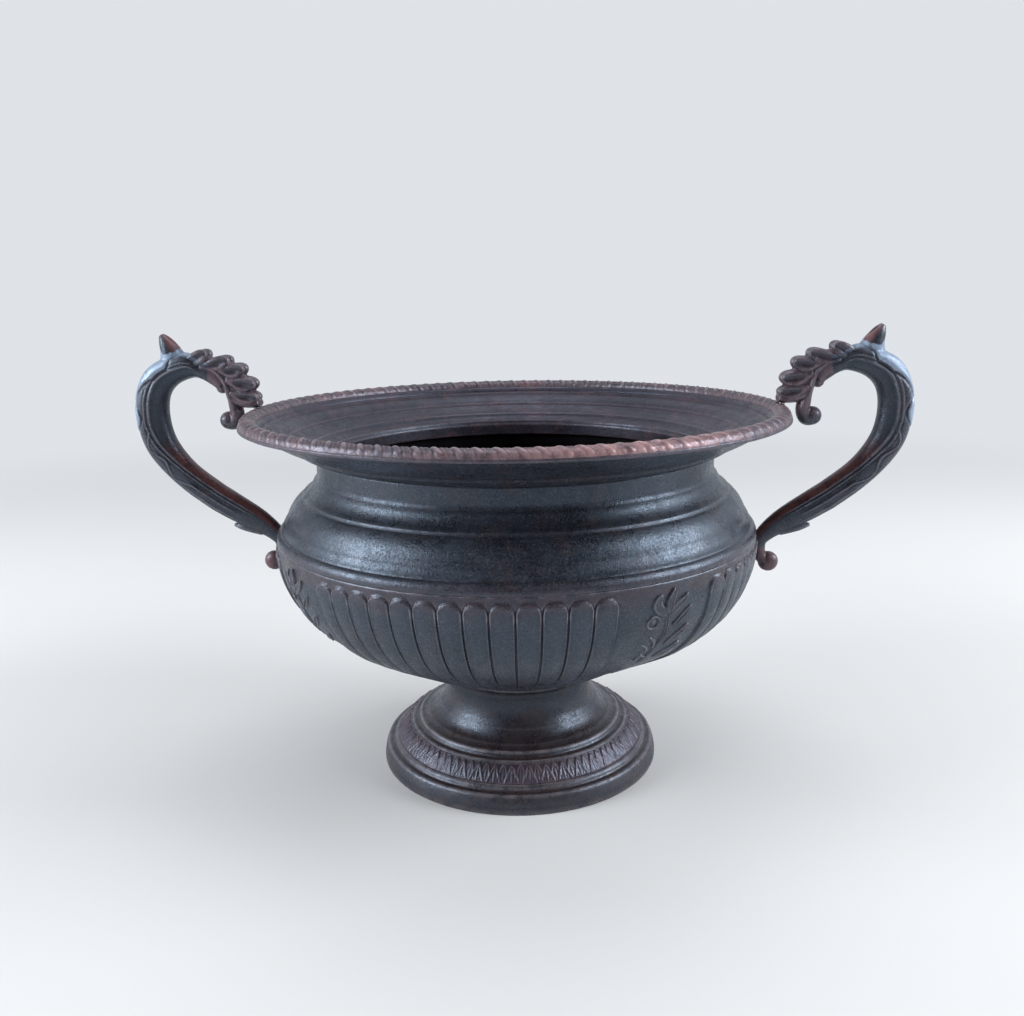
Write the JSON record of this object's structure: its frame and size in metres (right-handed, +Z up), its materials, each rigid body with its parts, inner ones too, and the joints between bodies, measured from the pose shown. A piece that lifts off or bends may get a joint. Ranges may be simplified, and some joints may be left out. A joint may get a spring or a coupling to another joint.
{
  "type": "urn planter",
  "caption": "Two-handled classical urn planter: wide flared rim with a rope edge, fluted bowl, scroll handles and a hollow trumpet foot.",
  "frame": {"origin": "centre of the foot's underside, on the ground", "axes": "+Z up along the urn's axis, +X through the right handle, +Y towards the back"},
  "size_m": [0.5076, 0.35, 0.2909],
  "materials": {
    "body_metal": "dark aged patina with a cool blue-grey sheen, brown in the hollows",
    "foot_metal": "dark brown-black aged patina, semi-gloss",
    "worn_edge_metal": "patina rubbed to a pinkish copper on the crests",
    "handle_metal": "reddish brown patina, rubbed pale grey on the outer backs",
    "fastener_steel": "dull plated steel",
    "gasket_rubber": "matt black rubber"
  },
  "bodies": {
    "root": {"foot": "foot_metal", "bowl": "body_metal", "shoulder": "body_metal", "rim": "body_metal", "rope_edge": "worn_edge_metal", "handle_right": "handle_metal", "handle_left": "handle_metal", "rim_screws": "fastener_steel", "wall_screws": "fastener_steel", "wall_washers": "fastener_steel", "tie_gasket": "gasket_rubber", "tie_washer_upper": "fastener_steel", "tie_bolt": "fastener_steel", "tie_washer_lower": "fastener_steel", "tie_nut": "fastener_steel"}
  },
  "joints": []
}
